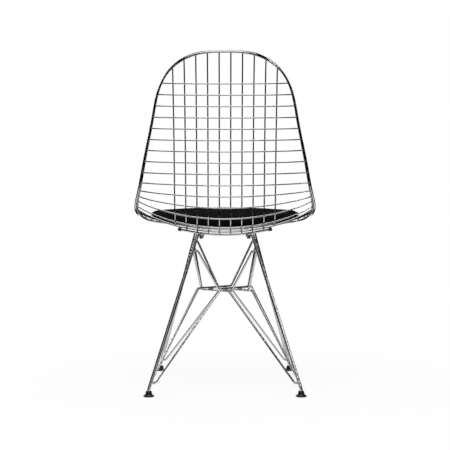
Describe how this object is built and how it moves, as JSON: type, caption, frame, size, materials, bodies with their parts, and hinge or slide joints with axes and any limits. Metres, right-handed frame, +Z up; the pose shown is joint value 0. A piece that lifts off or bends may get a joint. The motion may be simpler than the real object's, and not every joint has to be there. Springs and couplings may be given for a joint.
{
  "type": "wire mesh chair",
  "caption": "Dining chair with a dished wire mesh shell, a thin seat pad and splayed rod legs with crossed wire braces on plastic glides.",
  "frame": {"origin": "on the floor, under the middle of the chair's outline", "axes": "+Z up, the chair faces -Y, +X across the seat"},
  "size_m": [0.4756, 0.5387, 0.8258],
  "materials": {
    "chrome": "polished",
    "pad": "matt fine weave",
    "glide": "gloss",
    "cap": "gloss"
  },
  "bodies": {
    "root": {"brace_from_front_left": "chrome", "brace_from_front_right": "chrome", "brace_from_rear_left": "chrome", "brace_from_rear_right": "chrome", "cross_wire_01": "chrome", "cross_wire_02": "chrome", "cross_wire_03": "chrome", "cross_wire_04": "chrome", "cross_wire_05": "chrome", "cross_wire_06": "chrome", "cross_wire_07": "chrome", "cross_wire_08": "chrome", "cross_wire_09": "chrome", "cross_wire_10": "chrome", "cross_wire_11": "chrome", "cross_wire_12": "chrome", "cross_wire_13": "chrome", "cross_wire_14": "chrome", "cross_wire_15": "chrome", "cross_wire_16": "chrome", "cross_wire_17": "chrome", "cross_wire_18": "chrome", "cross_wire_19": "chrome", "cross_wire_20": "chrome", "cross_wire_21": "chrome", "cross_wire_22": "chrome", "cross_wire_23": "chrome", "cross_wire_24": "chrome", "cross_wire_25": "chrome", "cross_wire_26": "chrome", "cross_wire_27": "chrome", "cross_wire_28": "chrome", "crossbar_caps": "cap", "crossbar_front": "chrome", "crossbar_rear": "chrome", "dome_nuts": "chrome", "edge_wire_inner": "chrome", "edge_wire_outer": "chrome", "glide_front_left": "glide", "glide_front_right": "glide", "glide_rear_left": "glide", "glide_rear_right": "glide", "leg_front_left": "chrome", "leg_front_right": "chrome", "leg_rear_left": "chrome", "leg_rear_right": "chrome", "leg_studs": "chrome", "length_wire_01": "chrome", "length_wire_02": "chrome", "length_wire_03": "chrome", "length_wire_04": "chrome", "length_wire_05": "chrome", "length_wire_06": "chrome", "length_wire_07": "chrome", "length_wire_08": "chrome", "length_wire_09": "chrome", "length_wire_10": "chrome", "seat_pad": "pad"}
  },
  "joints": []
}
